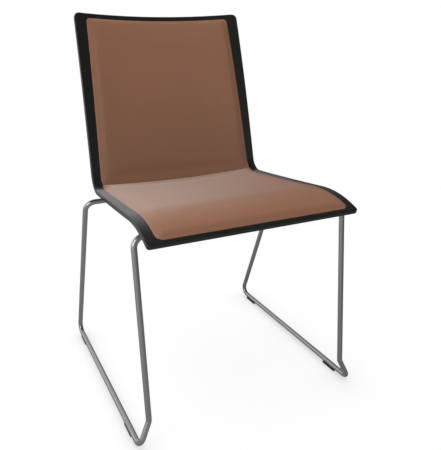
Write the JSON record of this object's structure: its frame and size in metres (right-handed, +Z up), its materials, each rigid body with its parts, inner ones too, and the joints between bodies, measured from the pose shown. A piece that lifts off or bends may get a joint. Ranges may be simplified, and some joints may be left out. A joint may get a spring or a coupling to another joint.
{
  "type": "sled base visitor chair",
  "caption": "Visitor chair for one sitter: a moulded black seat and back shell with brown leather pads, on a sled base of bent round steel rod with glides under its runners.",
  "frame": {"origin": "on the floor, under the middle of the chair's box seen from above", "axes": "+Z up, the chair faces -Y with its back at +Y, and +X is the right-hand side in a front view"},
  "size_m": [0.532, 0.5488, 0.8354],
  "materials": {
    "shell": "fine satin texture, moulded black",
    "leather": "smooth brown leather with a soft sheen",
    "foam": "cut polyurethane foam",
    "plywood": "bent plywood, unfinished",
    "frame_steel": "satin chromed steel rod",
    "glide": "black nylon",
    "screw_steel": "zinc plated",
    "insert_brass": "plain brass",
    "clip": "white nylon"
  },
  "bodies": {
    "root": {"shell": "shell", "seat_cover": "leather", "seat_foam": "foam", "seat_board": "plywood", "back_cover": "leather", "back_foam": "foam", "back_board": "plywood", "left_side_rod": "frame_steel", "right_side_rod": "frame_steel", "front_cross_bar": "frame_steel", "rear_cross_bar": "frame_steel", "front_left_glide": "glide", "front_right_glide": "glide", "rear_left_glide": "glide", "rear_right_glide": "glide", "front_left_frame_screw": "screw_steel", "front_right_frame_screw": "screw_steel", "rear_left_frame_screw": "screw_steel", "rear_right_frame_screw": "screw_steel", "front_left_insert": "insert_brass", "front_right_insert": "insert_brass", "rear_left_insert": "insert_brass", "rear_right_insert": "insert_brass", "front_left_pad_screw": "screw_steel", "front_right_pad_screw": "screw_steel", "rear_left_pad_screw": "screw_steel", "rear_right_pad_screw": "screw_steel", "front_left_tee_nut": "screw_steel", "front_right_tee_nut": "screw_steel", "rear_left_tee_nut": "screw_steel", "rear_right_tee_nut": "screw_steel", "lower_left_clip": "clip", "lower_right_clip": "clip", "upper_left_clip": "clip", "upper_right_clip": "clip"}
  },
  "joints": []
}
